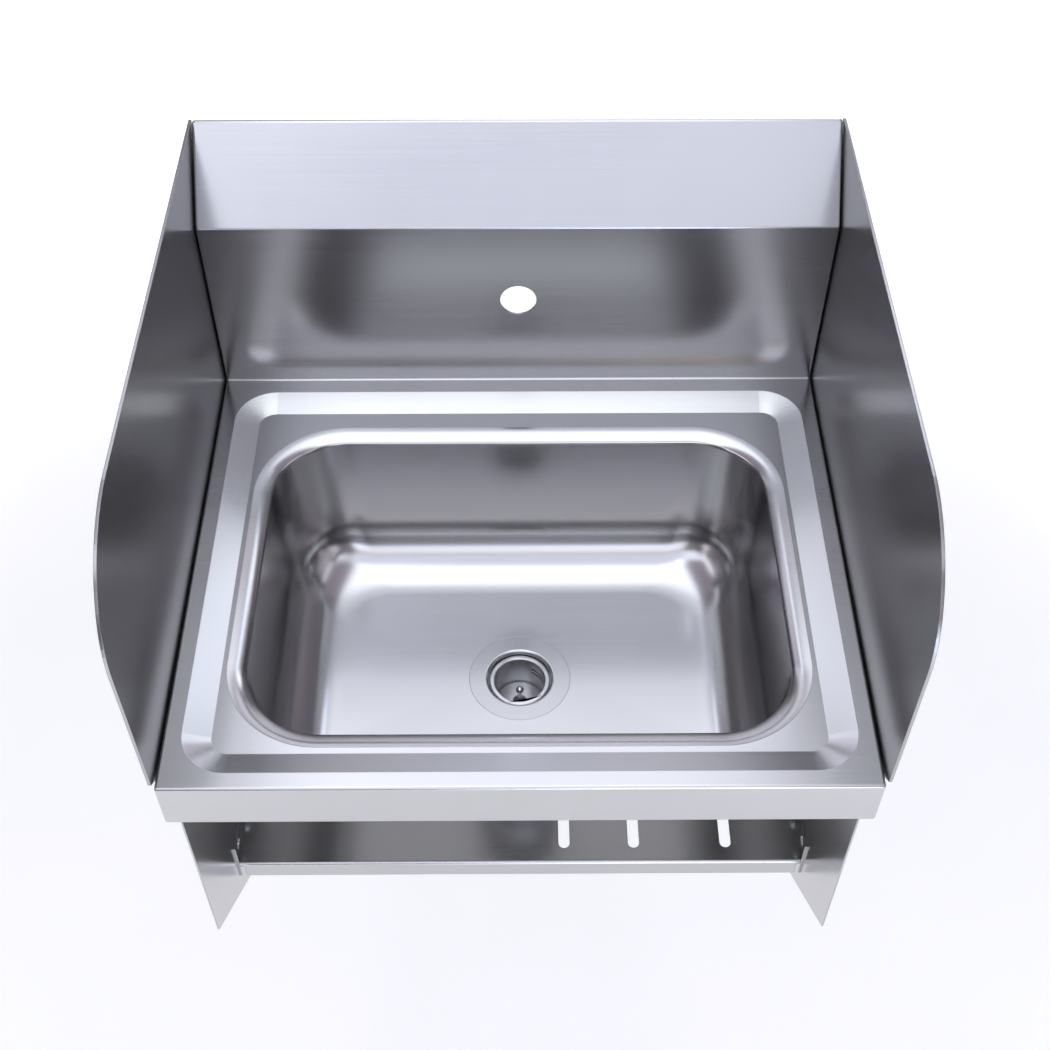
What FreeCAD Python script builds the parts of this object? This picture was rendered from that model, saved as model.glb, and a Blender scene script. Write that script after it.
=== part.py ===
import FreeCAD, Part
import math
import os
import re
import Sketcher
from FreeCAD import Placement, Rotation, Vector

# A wall-hung hand wash sink in folded stainless sheet. Inside this file the apron's front face is
# Y = 0, the wall is at Y = deckDepth + returnRun and the deck's top is Z = 0, in millimetres. Each
# piece is then placed so that the origin is the middle of the wall hanger's screws, on the wall.

doc = FreeCAD.newDocument("HandWashSink")
sizes = doc.addObject("Spreadsheet::Sheet", "Sizes")

driving = {
    # folded top: deck, apron, backsplash and sloped return
    "sheetGauge": 1.2, "bendRadius": 2.0, "deckWidth": 431.8, "deckDepth": 346.6,
    "apronHeight": 37.8, "backHeight": 138.7, "returnRun": 49.4, "returnRise": 55.6,
    "insideBend": 1.5, "frontReturn": 14.0, "sideReturn": 26.0, "wallFlange": 12.0,
    "hangLip": 21.0, "faucetHoleRadius": 12.7, "faucetHoleHeight": 75.9,
    # bevelled recess in the deck
    "recessSideMargin": 11.4, "recessFrontMargin": 11.4, "recessBackMargin": 13.4,
    "bevelRun": 16.7, "recessDrop": 6.0, "recessCorner": 28.5,
    # drawn bowl
    "bowlSideMargin": 43.1, "bowlWidth": 246.0, "bowlFront": 44.4, "bowlCorner": 50.0,
    "bowlDrop": 121.0, "wallDraft": 3.0, "rimRadius": 10.0, "coveRadius": 42.0,
    "seamLand": 1.5, "drainSeatDrop": 1.5, "drainHoleGap": 0.6,
    # side splashes and what holds them
    "splashGauge": 1.2, "splashGap": 1.3, "splashSetback": 1.2, "splashCorner": 77.0,
    "splashDrop": 3.9,
    "splashScrewRadius": 2.5, "splashScrewDrop": 22.0, "firstSplashScrew": 46.0,
    "splashScrewPitch": 260.0, "upperScrewInset": 24.0, "upperScrewRise": 106.0,
    "spacerRadius": 5.0,
    # side supports under the deck
    "supportGauge": 1.2, "supportInset": 9.4, "supportFront": 3.2, "supportFall": 190.5,
    "supportDepth": 304.8, "supportFlange": 20.0, "supportWallFlange": 22.0,
    "supportScrewRadius": 2.5, "supportScrewInset": 19.0, "firstSupportScrew": 48.0,
    "supportScrewPitch": 280.0, "wallHoleRadius": 3.5, "highWallHole": 90.0,
    "lowWallInset": 34.8,
    # slotted valve shelf between the supports
    "shelfGauge": 1.2, "shelfFront": 68.5, "shelfLevel": 221.0, "shelfDepth": 62.0,
    "shelfLip": 17.0, "shelfRearLip": 12.0, "lipRelief": 3.0, "slotWidth": 8.2,
    "slotLength": 40.0, "slotSetback": 12.0, "firstSlot": 32.2, "secondSlot": 83.4,
    "thirdSlot": 151.0, "shelfEndGauge": 1.5, "shelfEndRise": 22.0, "rodHoleRadius": 4.4,
    "rodHoleSetback": 9.5, "rodHoleRise": 13.5, "shelfScrewRadius": 2.0,
    "shelfScrewRise": 11.0, "firstShelfScrew": 38.0, "shelfScrewPitch": 16.0,
    # hanger on the wall
    "hangerGauge": 2.0, "hangerLength": 340.0, "hangerDrop": 50.0, "hangerStep": 5.0,
    "hangerHook": 8.0, "hangerHoleSpacing": 304.8, "hangerHoleRows": 25.4,
    "hangerHoleRadius": 3.5,
    # screws and nuts
    "largeHeadRadius": 4.75, "largeHeadHeight": 2.4, "largeNut": 8.0, "largeNutHeight": 4.0,
    "smallHeadRadius": 3.8, "smallHeadHeight": 2.0, "smallNut": 7.0, "smallNutHeight": 3.2,
    "headBevel": 1.2, "threadEnd": 1.0,
    # drain fitting
    "drainFlangeRadius": 36.5, "drainFlangeThick": 1.5, "drainFlangeGap": 0.4,
    "drainThroatRadius": 25.0, "drainBoreRadius": 22.6, "cupRadius": 20.9,
    "shankRadius": 25.4, "shankLength": 74.0, "cupDepth": 46.0, "cupCone": 2.5,
    "outletRadius": 16.0, "gasketRadius": 33.0, "gasketThick": 3.0, "frictionThick": 1.5,
    "gasketGap": 0.4, "locknutRadius": 35.0, "locknutThick": 9.0, "locknutStep": 5.0,
    "locknutLugs": 6, "lugDepth": 3.0, "lugWidth": 9.0, "threadGap": 0.1,
    "tailRadius": 19.05, "tailGauge": 1.25, "tailLength": 101.6, "tailFlangeRadius": 22.5,
    "tailFlangeThick": 1.5, "tailWasherRadius": 24.4, "tailWasherThick": 2.5,
    "tailNeckStep": 0.4, "tailNeckLength": 6.0, "tailGap": 0.3, "couplingAcross": 58.0, "couplingHeight": 20.0, "couplingWeb": 3.0,
    # lift-out strainer basket
    "basketRimRadius": 22.2, "basketRimThick": 2.2, "basketRadius": 18.8,
    "basketGauge": 0.8, "basketDrop": 3.0, "basketDepth": 29.2, "platformRadius": 16.9,
    "platformRise": 1.2, "slitHeight": 1.8, "slitPitch": 3.8, "firstSlit": 6.0,
    "slitSweep": 60.0, "slitTurn": 30.0, "studRadius": 2.0, "studLength": 9.5,
    "footRadius": 5.2, "footLip": 1.0, "footWaist": 2.8, "footHeight": 5.5,
    "stemRadius": 1.5, "ballRadius": 2.9, "ballHeight": 15.0, "sealRadius": 18.4,
    "sealThick": 3.0,
}
for row, (alias, amount) in enumerate(driving.items(), start=1):
    sizes.set("A%d" % row, alias)
    sizes.set("B%d" % row, str(amount))
    sizes.setAlias("B%d" % row, alias)
doc.recompute()

# Derived places, written with the sheet's own names.
HALF = "(deckWidth / 2)"
WALL = "(deckDepth + returnRun)"
TOP = "(backHeight + returnRise)"
FLOOR = "(recessDrop + bowlDrop)"
BOWL_Y = "(bowlFront + bowlWidth / 2)"
BOWL_HALF = "(%s - bowlSideMargin)" % HALF
HOOK_LEVEL = "(%s - hangLip)" % TOP
HANGER_MID = "(%s - hangerGauge - hangerDrop / 2)" % HOOK_LEVEL
SUPPORT_IN = "(%s - supportInset)" % HALF
SHELF_HALF = "(%s - shelfEndGauge)" % SUPPORT_IN
SPLASH_TOP = "(%s - splashDrop)" % TOP


def named(text):
    return re.sub(r"\b([a-z][A-Za-z]*)\b",
                  lambda m: "Sizes." + m.group(1) if m.group(1) in driving else m.group(1), text)


def value(text):
    return float(sizes.evalExpression(text))


def bind(thing, field, text):
    thing.setExpression(field, named(text))


# ---- bodies, sketches and features ------------------------------------------------------------

def newBody(label):
    body = doc.addObject("PartDesign::Body", "Body_" + label)
    body.Label = label
    return body


def setDown(body, x="0", y="0", z="0", turn=None):
    # moves a finished body from this file's frame to the part's own frame
    bind(body, "Placement.Base.x", x)
    bind(body, "Placement.Base.y", "%s - %s" % (y, WALL))
    bind(body, "Placement.Base.z", "%s - %s" % (z, HANGER_MID))
    if turn:
        body.Placement.Rotation = Rotation(Vector(0, 0, 1), value(turn))


def newSketch(body, name, plane, offset=None):
    sketch = body.newObject("Sketcher::SketchObject", name)
    support = [f for f in body.Origin.OriginFeatures if f.Role == plane][0]
    sketch.AttachmentSupport = [(support, "")]
    sketch.MapMode = "FlatFace"
    if offset:
        bind(sketch, "AttachmentOffset.Base.z", offset)
    return sketch


def fix(sketch, kind, args, text):
    index = sketch.addConstraint(Sketcher.Constraint(kind, *args, value(text)))
    bind(sketch, "Constraints[%d]" % index, text)


def polygon(sketch, points):
    spots = [Vector(value(a), value(b), 0) for a, b in points]
    first = sketch.GeometryCount
    count = len(spots)
    for i in range(count):
        sketch.addGeometry(Part.LineSegment(spots[i], spots[(i + 1) % count]), False)
    for i in range(count):
        sketch.addConstraint(Sketcher.Constraint("Coincident", first + i, 2,
                                                 first + (i + 1) % count, 1))
    for i, (a, b) in enumerate(points):
        fix(sketch, "DistanceX", (-1, 1, first + i, 1), a)
        fix(sketch, "DistanceY", (-1, 1, first + i, 1), b)


def circle(sketch, x, y, radius):
    centre = Vector(value(x), value(y), 0)
    index = sketch.addGeometry(Part.Circle(centre, Vector(0, 0, 1), value(radius)), False)
    fix(sketch, "DistanceX", (-1, 1, index, 3), x)
    fix(sketch, "DistanceY", (-1, 1, index, 3), y)
    fix(sketch, "Radius", (index,), radius)


def roundedBox(sketch, left, right, low, high, radius):
    # four lines and four corner arcs, each arc tangent to its two lines
    x0, x1, y0, y1, r = [value(t) for t in (left, right, low, high, radius)]
    first = sketch.GeometryCount
    lines = [((x0 + r, y0), (x1 - r, y0)), ((x1, y0 + r), (x1, y1 - r)),
             ((x1 - r, y1), (x0 + r, y1)), ((x0, y1 - r), (x0, y0 + r))]
    centres = [(x1 - r, y0 + r), (x1 - r, y1 - r), (x0 + r, y1 - r), (x0 + r, y0 + r)]
    for i in range(4):
        (ax, ay), (bx, by) = lines[i]
        sketch.addGeometry(Part.LineSegment(Vector(ax, ay, 0), Vector(bx, by, 0)), False)
        ring = Part.Circle(Vector(*centres[i], 0), Vector(0, 0, 1), r)
        start = math.radians(90 * i - 90)
        sketch.addGeometry(Part.ArcOfCircle(ring, start, start + math.pi / 2), False)
    for i in range(4):
        line, arc = first + 2 * i, first + 2 * i + 1
        following = first + 2 * ((i + 1) % 4)
        sketch.addConstraint(Sketcher.Constraint("Tangent", line, 2, arc, 1))
        sketch.addConstraint(Sketcher.Constraint("Tangent", arc, 2, following, 1))
        sketch.addConstraint(Sketcher.Constraint("Vertical" if i % 2 else "Horizontal", line))
        if i:
            sketch.addConstraint(Sketcher.Constraint("Equal", first + 1, arc))
    fix(sketch, "Radius", (first + 1,), radius)
    fix(sketch, "DistanceY", (-1, 1, first, 1), low)
    fix(sketch, "DistanceX", (-1, 1, first + 2, 1), right)
    fix(sketch, "DistanceY", (-1, 1, first + 4, 1), high)
    fix(sketch, "DistanceX", (-1, 1, first + 6, 1), left)


def slot(sketch, x, low, high, width):
    # a straight slot along the sketch's second axis, with half-round ends
    xc, y0, y1, r = value(x), value(low), value(high), value(width) / 2
    first = sketch.GeometryCount
    normal = Vector(0, 0, 1)
    sketch.addGeometry(Part.LineSegment(Vector(xc + r, y0 + r, 0), Vector(xc + r, y1 - r, 0)), False)
    sketch.addGeometry(Part.ArcOfCircle(Part.Circle(Vector(xc, y1 - r, 0), normal, r),
                                        0, math.pi), False)
    sketch.addGeometry(Part.LineSegment(Vector(xc - r, y1 - r, 0), Vector(xc - r, y0 + r, 0)), False)
    sketch.addGeometry(Part.ArcOfCircle(Part.Circle(Vector(xc, y0 + r, 0), normal, r),
                                        math.pi, 2 * math.pi), False)
    for i in range(4):
        sketch.addConstraint(Sketcher.Constraint("Tangent", first + i, 2, first + (i + 1) % 4, 1))
    sketch.addConstraint(Sketcher.Constraint("Vertical", first))
    half = "(%s) / 2" % width
    fix(sketch, "Radius", (first + 1,), half)
    fix(sketch, "DistanceX", (-1, 1, first + 1, 3), x)
    fix(sketch, "DistanceY", (-1, 1, first + 1, 3), "%s - %s" % (high, half))
    fix(sketch, "DistanceY", (-1, 1, first + 3, 3), "%s + %s" % (low, half))


def swell(body, kind, name, sketch, length, reverse=False, both=False, taper=None):
    # a pad or a pocket whose length, and taper if any, follow the sheet
    feature = body.newObject("PartDesign::" + kind, name)
    feature.Profile = sketch
    bind(feature, "Length", length)
    feature.SideType = "Symmetric" if both else "One side"
    feature.Reversed = reverse
    if taper:
        bind(feature, "TaperAngle", taper)
    doc.recompute()
    return feature


def turned(body, name, points, kind="Revolution", sweep=None):
    # a profile of radius and height turned about the body's own Z axis
    sketch = newSketch(body, name + "Profile", "XZ_Plane")
    polygon(sketch, points)
    feature = body.newObject("PartDesign::" + kind, name)
    feature.Profile = sketch
    feature.ReferenceAxis = (sketch, ["V_Axis"])
    feature.Angle = 360
    if sweep:
        feature.Midplane = True
        bind(feature, "Angle", sweep)
    doc.recompute()
    return feature


def rounding(body, name, base, radius, wanted):
    # rounds the edges of base that the test picks out
    names = ["Edge%d" % (i + 1) for i, edge in enumerate(base.Shape.Edges) if wanted(edge)]
    if not names:
        raise RuntimeError("no edge found for " + name)
    feature = body.newObject("PartDesign::Fillet", name)
    feature.Base = (base, names)
    bind(feature, "Radius", radius)
    doc.recompute()
    return feature


def near(a, b, slack=0.02):
    return abs(a - b) < slack


def level(edge, z):
    box = edge.BoundBox
    return near(box.ZMin, z) and near(box.ZMax, z)


def along(edge, axis):
    box = edge.BoundBox
    spans = {"X": box.XLength, "Y": box.YLength, "Z": box.ZLength}
    return spans[axis] > 1 and all(spans[a] < 0.01 for a in spans if a != axis)


# ---- folded top ------------------------------------------------------------------------------

splashScrews = [("firstSplashScrew", "0 - splashScrewDrop"),
                ("firstSplashScrew + splashScrewPitch", "0 - splashScrewDrop"),
                (WALL + " - upperScrewInset", "upperScrewRise")]
supportScrews = ["firstSupportScrew", "firstSupportScrew + supportScrewPitch"]


# how far a bevel's underside stands out from its upper side on a level line
SPREAD = "(sheetGauge * sqrt(recessDrop ^ 2 + bevelRun ^ 2) / recessDrop)"


def outerFold(edge, inset):
    # the folds of the outer shell, or of its inside when inset is one gauge
    box = edge.BoundBox
    if level(edge, value("0 - apronHeight")):
        return False
    if near(abs(edge.CenterOfMass.x), value(HALF) - inset):
        return True
    middle = edge.CenterOfMass
    inTheCorner = middle.y > value("deckDepth / 2") and middle.z < value("backHeight / 2")
    wide = near(box.XLength, value("deckWidth") - 2 * inset)
    return along(edge, "X") and wide and not inTheCorner


def trayPlan(body, name, drop, spread):
    # the bevel's outline at a depth below the deck, moved outwards by the spread
    sketch = newSketch(body, name, "XY_Plane", "0 - (%s)" % drop)
    step = "bevelRun * (%s) / recessDrop - %s" % (drop, spread)
    roundedBox(sketch, "recessSideMargin - %s + %s" % (HALF, step),
               "%s - recessSideMargin - (%s)" % (HALF, step),
               "recessFrontMargin + " + step, "deckDepth - recessBackMargin - (%s)" % step,
               "recessCorner - (%s)" % step)
    return sketch


def loft(body, kind, name, sketches):
    feature = body.newObject("PartDesign::" + kind, name)
    feature.Profile = sketches[0]
    feature.Sections = [(sketch, [""]) for sketch in sketches[1:]]
    feature.Ruled = True
    doc.recompute()
    return feature


def bowlPlan(body, name, drop, growth):
    # the bowl's mouth at a depth below the deck, moved outwards by the growth
    sketch = newSketch(body, name, "XY_Plane", "0 - (%s)" % drop)
    halfLength = "(%s + %s)" % (BOWL_HALF, growth)
    roundedBox(sketch, "0 - " + halfLength, halfLength, "bowlFront - (%s)" % growth,
               "bowlFront + bowlWidth + (%s)" % growth, "bowlCorner + " + growth)
    return sketch


def makeTop():
    body = newBody("deck_and_backsplash")
    side = newSketch(body, "SideProfile", "YZ_Plane")
    polygon(side, [("0", "0 - apronHeight"), ("0", "0"), ("deckDepth", "0"),
                   ("deckDepth", "backHeight"), (WALL, TOP), (WALL, "0 - apronHeight")])
    block = swell(body, "Pad", "Block", side, "deckWidth", both=True)
    depth, foot = value("deckDepth"), value("0 - apronHeight")
    corner = rounding(body, "InsideBend", block, "insideBend",
                      lambda e: along(e, "X") and near(e.BoundBox.YMin, depth)
                      and near(e.BoundBox.ZMin, 0))
    hollow = body.newObject("PartDesign::Thickness", "Hollow")
    hollow.Base = (corner, ["Face%d" % (i + 1) for i, f in enumerate(corner.Shape.Faces)
                            if near(f.BoundBox.ZMax, foot)])
    bind(hollow, "Value", "sheetGauge")
    hollow.Reversed = True
    hollow.Join = "Intersection"
    doc.recompute()
    # the same folds are rounded inside, then outside by one gauge more
    inside = rounding(body, "FoldsInside", hollow, "bendRadius - sheetGauge",
                      lambda e: outerFold(e, value("sheetGauge")))
    rounding(body, "FoldsOutside", inside, "bendRadius", lambda e: outerFold(e, 0))
    # a shallow tray hangs below the deck and the recess with its bevels is cut into it
    tray = [trayPlan(body, "TrayTop", "sheetGauge / 2", SPREAD),
            trayPlan(body, "TrayBottom", "recessDrop + sheetGauge", SPREAD)]
    loft(body, "AdditiveLoft", "Tray", tray)
    loft(body, "SubtractiveLoft", "Recess", [trayPlan(body, "RecessTop", "0", "0"),
                                             trayPlan(body, "RecessBottom", "recessDrop", "0")])
    # the back is open but for a hanging lip at the top and a flange at each side
    back = newSketch(body, "BackOpening", "XZ_Plane", "0 - " + WALL)
    polygon(back, [("wallFlange - " + HALF, "0 - apronHeight - sheetGauge"),
                   (HALF + " - wallFlange", "0 - apronHeight - sheetGauge"),
                   (HALF + " - wallFlange", HOOK_LEVEL), ("wallFlange - " + HALF, HOOK_LEVEL)])
    swell(body, "Pocket", "OpenBack", back, "4 * sheetGauge", both=True)
    rim = newSketch(body, "ReturnPlan", "XY_Plane", "0 - apronHeight")
    outX, inX = "(%s - sheetGauge / 2)" % HALF, "(%s - sideReturn)" % HALF
    polygon(rim, [("0 - " + outX, WALL), ("0 - " + outX, "sheetGauge / 2"),
                  (outX, "sheetGauge / 2"), (outX, WALL), (inX, WALL), (inX, "frontReturn"),
                  ("0 - " + inX, "frontReturn"), ("0 - " + inX, WALL)])
    swell(body, "Pad", "BottomReturn", rim, "sheetGauge")
    mouth = bowlPlan(body, "BowlOpening", "recessDrop + 2 * sheetGauge", "rimRadius + seamLand")
    swell(body, "Pocket", "BowlCutout", mouth, "3 * sheetGauge", reverse=True)
    tap = newSketch(body, "FaucetCircle", "XZ_Plane", "0 - deckDepth")
    circle(tap, "0", "faucetHoleHeight", "faucetHoleRadius")
    swell(body, "Pocket", "FaucetHole", tap, "6 * sheetGauge", both=True)
    screws = newSketch(body, "SplashScrewCircles", "YZ_Plane")
    for y, z in splashScrews:
        circle(screws, y, z, "splashScrewRadius + threadGap")
    swell(body, "Pocket", "SplashScrewHoles", screws, "deckWidth + 2 * sheetGauge", both=True)
    studs = newSketch(body, "SupportScrewCircles", "XY_Plane", "0 - apronHeight")
    for y in supportScrews:
        circle(studs, HALF + " - supportScrewInset", y, "supportScrewRadius + threadGap")
        circle(studs, "supportScrewInset - " + HALF, y, "supportScrewRadius + threadGap")
    swell(body, "Pocket", "SupportScrewHoles", studs, "4 * sheetGauge", both=True)
    setDown(body)


# ---- drawn bowl ------------------------------------------------------------------------------

def aroundMouth(edge, drop):
    # true for the edges of the bowl's mouth at a depth, false for the seam around it
    box = edge.BoundBox
    reach = value(BOWL_HALF + " + 2 * sheetGauge")
    nearest = value("bowlFront - 2 * sheetGauge")
    farthest = value("bowlFront + bowlWidth + 2 * sheetGauge")
    across = box.XMin > -reach and box.XMax < reach
    return level(edge, -value(drop)) and across and box.YMin > nearest and box.YMax < farthest


def makeBowl():
    body = newBody("bowl")
    rim = bowlPlan(body, "RimPlan", "recessDrop", "rimRadius + seamLand")
    swell(body, "Pad", "Rim", rim, "sheetGauge", reverse=True)
    outer = bowlPlan(body, "OuterPlan", "recessDrop + sheetGauge", "sheetGauge")
    swell(body, "Pad", "OuterForm", outer, "bowlDrop", reverse=True, taper="0 - wallDraft")
    inner = bowlPlan(body, "InnerPlan", "recessDrop", "0")
    well = swell(body, "Pocket", "Well", inner, "bowlDrop", taper="0 - wallDraft")
    # rounded inside first, then outside by one gauge less or more, so the wall stays even
    floor, underside = value("0 - " + FLOOR), value("0 - %s - sheetGauge" % FLOOR)
    lip = rounding(body, "RolledRim", well, "rimRadius", lambda e: aroundMouth(e, "recessDrop"))
    cove = rounding(body, "Cove", lip, "coveRadius", lambda e: level(e, floor))
    neck = rounding(body, "OuterNeck", cove, "rimRadius - sheetGauge",
                    lambda e: aroundMouth(e, "recessDrop + sheetGauge"))
    rounding(body, "OuterCove", neck, "coveRadius + sheetGauge", lambda e: level(e, underside))
    seat = newSketch(body, "SeatBack", "XY_Plane", "0 - %s - sheetGauge / 2" % FLOOR)
    circle(seat, "0", BOWL_Y, "drainFlangeRadius + drainFlangeGap + sheetGauge")
    swell(body, "Pad", "SeatBoss", seat, "drainSeatDrop + sheetGauge / 2", reverse=True)
    dish = newSketch(body, "SeatPlan", "XY_Plane", "0 - " + FLOOR)
    circle(dish, "0", BOWL_Y, "drainFlangeRadius + drainFlangeGap")
    swell(body, "Pocket", "Seat", dish, "drainSeatDrop")
    hole = newSketch(body, "DrainCircle", "XY_Plane", "0 - " + FLOOR)
    circle(hole, "0", BOWL_Y, "shankRadius + drainHoleGap")
    swell(body, "Pocket", "DrainHole", hole, "drainSeatDrop + 2 * sheetGauge")
    setDown(body)


# ---- side splashes ---------------------------------------------------------------------------

def makeSplash(label, sign):
    body = newBody(label)
    face = newSketch(body, "Outline", "YZ_Plane", "%d * (%s + splashGap)" % (sign, HALF))
    polygon(face, [("splashSetback", "0 - apronHeight"), (WALL, "0 - apronHeight"),
                   (WALL, SPLASH_TOP), ("splashSetback", SPLASH_TOP)])
    panel = swell(body, "Pad", "Panel", face, "splashGauge", reverse=sign < 0)
    front, top = value("splashSetback"), value(SPLASH_TOP)
    rounding(body, "FrontCorner", panel, "splashCorner",
             lambda e: near(e.BoundBox.YMax, front) and near(e.BoundBox.ZMin, top))
    holes = newSketch(body, "ScrewCircles", "YZ_Plane", "%d * (%s + splashGap)" % (sign, HALF))
    for y, z in splashScrews:
        circle(holes, y, z, "splashScrewRadius + threadGap")
    swell(body, "Pocket", "ScrewHoles", holes, "4 * splashGauge", both=True)
    setDown(body)


# ---- side supports ---------------------------------------------------------------------------

def makeSupport(label, sign):
    body = newBody(label)
    inner = "%d * %s" % (sign, SUPPORT_IN)
    face = newSketch(body, "Outline", "YZ_Plane", inner)
    top = "0 - apronHeight"
    run = "(supportDepth - supportFall)"
    polygon(face, [("supportFront", top), ("supportFront", "0 - supportFall"),
                   ("supportFront + " + run, "0 - supportDepth"), (WALL, "0 - supportDepth"),
                   (WALL, top)])
    swell(body, "Pad", "Panel", face, "supportGauge", reverse=sign < 0)
    head = newSketch(body, "TopFlangeSection", "YZ_Plane", inner)
    polygon(head, [("supportFront", top), ("supportFront", top + " - supportGauge"),
                   (WALL, top + " - supportGauge"), (WALL, top)])
    swell(body, "Pad", "TopFlange", head, "supportFlange", reverse=sign > 0)
    rear = newSketch(body, "WallFlangeSection", "YZ_Plane", inner)
    polygon(rear, [(WALL + " - supportGauge", top), (WALL + " - supportGauge", "0 - supportDepth"),
                   (WALL, "0 - supportDepth"), (WALL, top)])
    flanges = swell(body, "Pad", "WallFlange", rear, "supportWallFlange", reverse=sign > 0)
    outX = sign * value(SUPPORT_IN + " + supportGauge")
    wall, head0 = value(WALL), value(top)
    bent = rounding(body, "FlangeBends", flanges, "2 * supportGauge",
                    lambda e: near(e.CenterOfMass.x, outX)
                    and ((along(e, "Y") and near(e.BoundBox.ZMax, head0))
                         or (along(e, "Z") and near(e.BoundBox.YMin, wall))))
    inX = sign * value(SUPPORT_IN)
    rounding(body, "FlangeCorners", bent, "supportGauge",
             lambda e: near(e.CenterOfMass.x, inX)
             and ((along(e, "Y") and near(e.BoundBox.ZMax, value(top + " - supportGauge")))
                  or (along(e, "Z") and near(e.BoundBox.YMin, value(WALL + " - supportGauge")))))
    studs = newSketch(body, "TopScrewCircles", "XY_Plane", top)
    for y in supportScrews:
        circle(studs, "%d * (%s - supportScrewInset)" % (sign, HALF), y,
               "supportScrewRadius + threadGap")
    swell(body, "Pocket", "TopScrewHoles", studs, "4 * supportGauge", both=True)
    fixing = newSketch(body, "WallCircles", "XZ_Plane", "0 - " + WALL)
    for z in ("highWallHole", "(supportDepth - lowWallInset)"):
        circle(fixing, "%d * (%s - supportWallFlange / 2)" % (sign, SUPPORT_IN), "0 - " + z,
               "wallHoleRadius")
    swell(body, "Pocket", "WallHoles", fixing, "4 * supportGauge", both=True)
    cross = newSketch(body, "ShelfCircles", "YZ_Plane", inner)
    shelfHoles(cross)
    swell(body, "Pocket", "ShelfHoles", cross, "4 * supportGauge", both=True)
    setDown(body)


# ---- valve shelf and its ends ----------------------------------------------------------------

shelfScrews = [("shelfFront + firstShelfScrew + %d * shelfScrewPitch" % i,
                "shelfScrewRise - shelfLevel") for i in range(2)]


def shelfHoles(sketch):
    # the open rod hole and the two screw holes, shared by each support and shelf end
    circle(sketch, "shelfFront + rodHoleSetback", "rodHoleRise - shelfLevel", "rodHoleRadius")
    for y, z in shelfScrews:
        circle(sketch, y, z, "shelfScrewRadius + threadGap")


def makeShelf():
    body = newBody("valve_shelf")
    side = newSketch(body, "Section", "YZ_Plane")
    back = "(shelfFront + shelfDepth)"
    level0 = "0 - shelfLevel"
    polygon(side, [("shelfFront", level0), (back, level0), (back, level0 + " - shelfRearLip"),
                   (back + " - shelfGauge", level0 + " - shelfRearLip"),
                   (back + " - shelfGauge", level0 + " - shelfGauge"),
                   ("shelfFront + shelfGauge", level0 + " - shelfGauge"),
                   ("shelfFront + shelfGauge", level0 + " - shelfLip"),
                   ("shelfFront", level0 + " - shelfLip")])
    tray = swell(body, "Pad", "Tray", side, "2 * " + SHELF_HALF, both=True)
    zTop, zIn = value(level0), value(level0 + " - shelfGauge")
    folds = rounding(body, "LipBends", tray, "2 * shelfGauge",
                     lambda e: along(e, "X") and near(e.BoundBox.ZMin, zTop))
    corners = rounding(body, "LipCorners", folds, "shelfGauge",
                       lambda e: along(e, "X") and near(e.BoundBox.ZMin, zIn))
    notch = newSketch(body, "LipNotches", "XZ_Plane", "0 - shelfFront")
    for sign in (-1, 1):
        polygon(notch, [("%d * (%s + shelfGauge)" % (sign, SHELF_HALF), level0 + " - 3 * shelfGauge"),
                        ("%d * (%s - lipRelief)" % (sign, SHELF_HALF), level0 + " - 3 * shelfGauge"),
                        ("%d * (%s - lipRelief)" % (sign, SHELF_HALF),
                         level0 + " - shelfLip - shelfGauge"),
                        ("%d * (%s + shelfGauge)" % (sign, SHELF_HALF),
                         level0 + " - shelfLip - shelfGauge")])
    swell(body, "Pocket", "LipRelief", notch, "4 * shelfGauge", both=True)
    cuts = newSketch(body, "SlotPlan", "XY_Plane", level0)
    for x in ("firstSlot", "secondSlot", "thirdSlot"):
        slot(cuts, x, "shelfFront + slotSetback", "shelfFront + slotSetback + slotLength",
             "slotWidth")
    swell(body, "Pocket", "Slots", cuts, "4 * shelfGauge", both=True)
    setDown(body)


def makeShelfEnd(label, sign):
    body = newBody(label)
    face = newSketch(body, "Outline", "YZ_Plane", "%d * %s" % (sign, SHELF_HALF))
    polygon(face, [("shelfFront", "0 - shelfLevel - shelfLip"),
                   ("shelfFront + shelfDepth", "0 - shelfLevel - shelfLip"),
                   ("shelfFront + shelfDepth", "shelfEndRise - shelfLevel"),
                   ("shelfFront", "shelfEndRise - shelfLevel")])
    plate = swell(body, "Pad", "Plate", face, "shelfEndGauge", reverse=sign < 0)
    rear = value("shelfFront + shelfDepth")
    rounding(body, "RearCorners", plate, "4 * shelfEndGauge",
             lambda e: along(e, "X") and near(e.BoundBox.YMin, rear))
    holes = newSketch(body, "Circles", "YZ_Plane", "%d * %s" % (sign, SHELF_HALF))
    shelfHoles(holes)
    swell(body, "Pocket", "Holes", holes, "4 * shelfEndGauge", both=True)
    setDown(body)


# ---- wall hanger -----------------------------------------------------------------------------

def makeHanger():
    body = newBody("wall_hanger")
    side = newSketch(body, "Section", "YZ_Plane")
    leg = "(%s - hangerStep)" % WALL
    under = "(%s - hangerGauge)" % HOOK_LEVEL
    tip = "(%s + hangerHook)" % HOOK_LEVEL
    polygon(side, [(WALL, under + " - hangerDrop"), (WALL, HOOK_LEVEL), (leg, HOOK_LEVEL),
                   (leg, tip), (leg + " - hangerGauge", tip), (leg + " - hangerGauge", under),
                   (WALL + " - hangerGauge", under),
                   (WALL + " - hangerGauge", under + " - hangerDrop")])
    swell(body, "Pad", "Rail", side, "hangerLength", both=True)
    holes = newSketch(body, "Circles", "XZ_Plane", "0 - " + WALL)
    for sx in (-1, 1):
        for sz in (-1, 1):
            circle(holes, "%d * hangerHoleSpacing / 2" % sx,
                   "%s + %d * hangerHoleRows / 2" % (HANGER_MID, sz), "hangerHoleRadius")
    swell(body, "Pocket", "Holes", holes, "4 * hangerGauge", both=True)
    setDown(body)


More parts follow.
